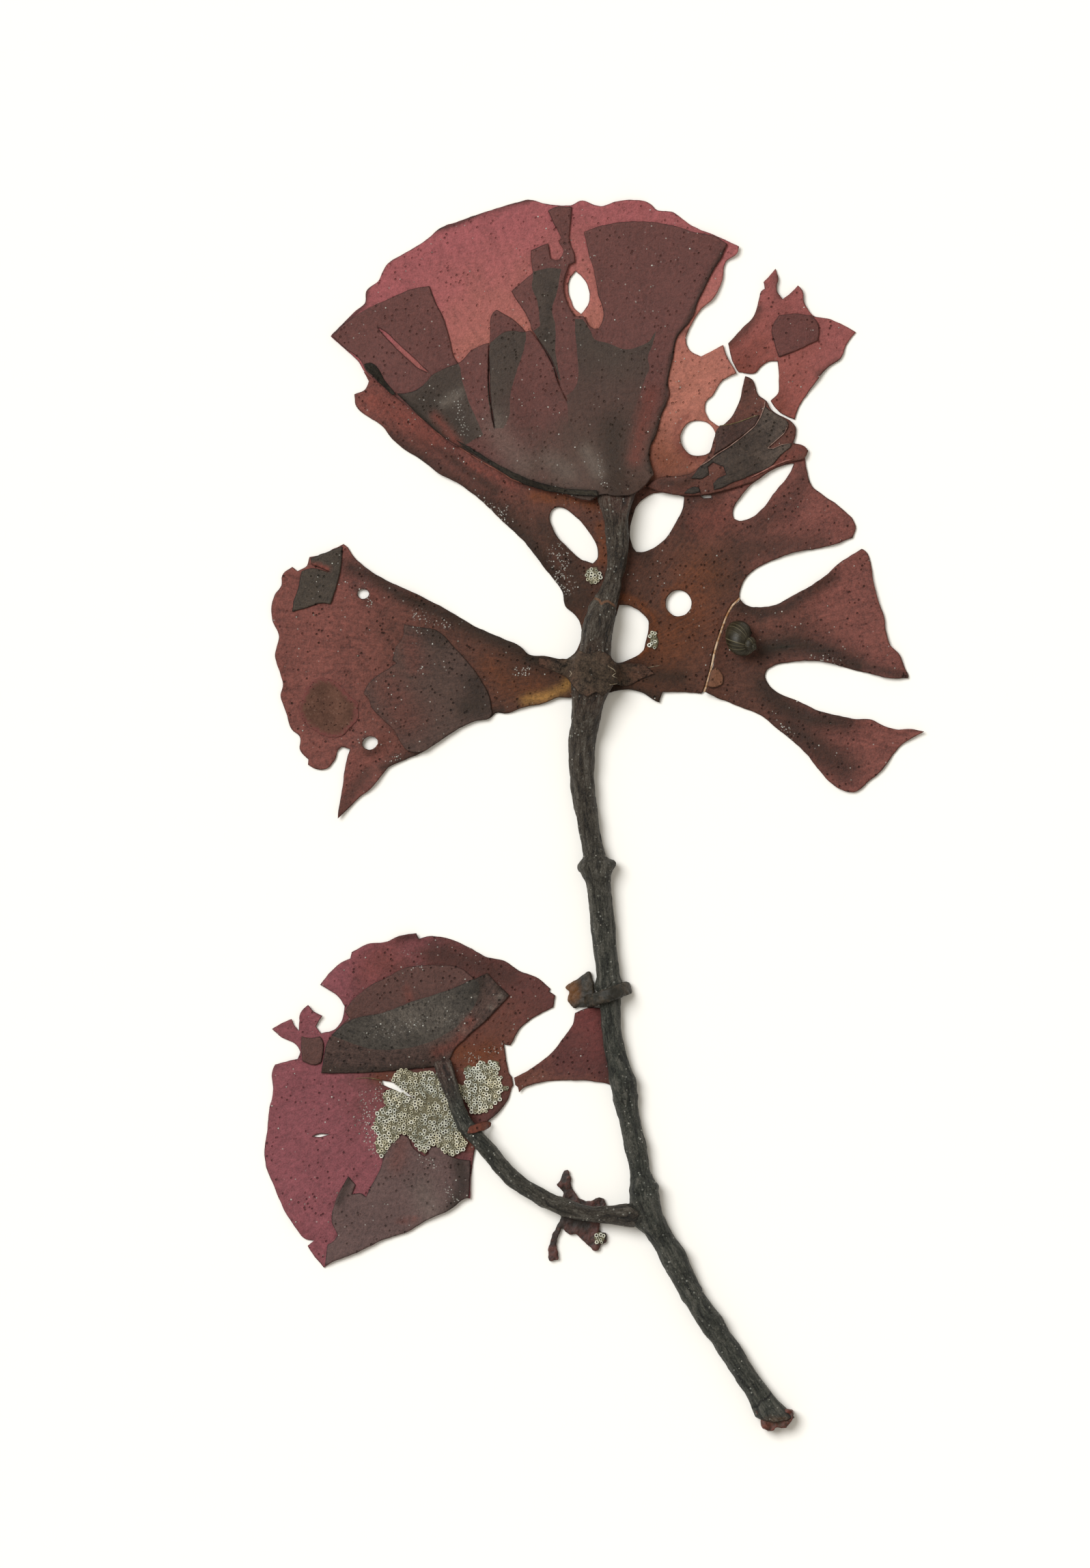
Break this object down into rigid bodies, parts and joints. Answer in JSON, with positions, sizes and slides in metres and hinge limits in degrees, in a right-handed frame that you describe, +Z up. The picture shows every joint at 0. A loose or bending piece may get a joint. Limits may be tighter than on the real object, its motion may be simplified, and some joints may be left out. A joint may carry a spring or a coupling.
{
  "type": "pressed dried red seaweed, constantinea rosa-marina",
  "caption": "Pressed and dried red alga lying flat: forked stipe with a folded crown blade, a torn peltate middle blade, a side blade and small epiphytes.",
  "frame": {"origin": "centre of the specimen's outline box, on the surface it lies on", "axes": "+Y from the stipe's base towards the crown, +X to the right seen from above, +Z up off the surface"},
  "size_m": [0.05, 0.0934, 0.0028],
  "materials": {
    "stipe": "dried, fibrous, lengthwise wrinkles, dull",
    "old_remnant": "dried, crumpled, dull",
    "thin_blade": "single dried blade, pink to wine red, faint satin",
    "thick_blade": "dried blade, red-brown, fine radial wrinkles, satin",
    "layered_blade": "blades lying over each other, dark brown to greenish grey, satin",
    "bryozoan": "chalky grey-olive crust of tiny cells with dark pits",
    "brown_crust": "thin matt brown crust with fine dark pits",
    "shell": "glossy black-olive snail shell with growth lines"
  },
  "bodies": {
    "root": {"forked_stipe": "stipe", "holdfast_remnant": "old_remnant", "old_collar": "old_remnant", "branch_remnant": "old_remnant", "old_blade_wedge": "thin_blade", "crown_back": "thin_blade", "crown_left_lobe": "layered_blade", "crown_tip_lobe": "layered_blade", "crown_hidden_tongue": "layered_blade", "crown_young_blade": "layered_blade", "crown_front": "layered_blade", "crown_folded_lobe": "layered_blade", "broken_upper_lobe": "thin_blade", "upper_lobe_patch": "layered_blade", "middle_blade": "thick_blade", "middle_overlap": "layered_blade", "middle_corner_flap": "layered_blade", "broken_right_lobe": "thick_blade", "side_blade": "thin_blade", "side_folded_lobe": "layered_blade", "side_upper_lobe": "layered_blade", "side_young_blade": "layered_blade", "side_corner_flap": "layered_blade", "side_crust_left": "bryozoan", "side_crust_right": "bryozoan", "disc_crust_upper": "bryozoan", "disc_crust_lower": "bryozoan", "remnant_crust": "bryozoan", "brown_crust": "brown_crust", "snail_shell": "shell"}
  },
  "joints": []
}
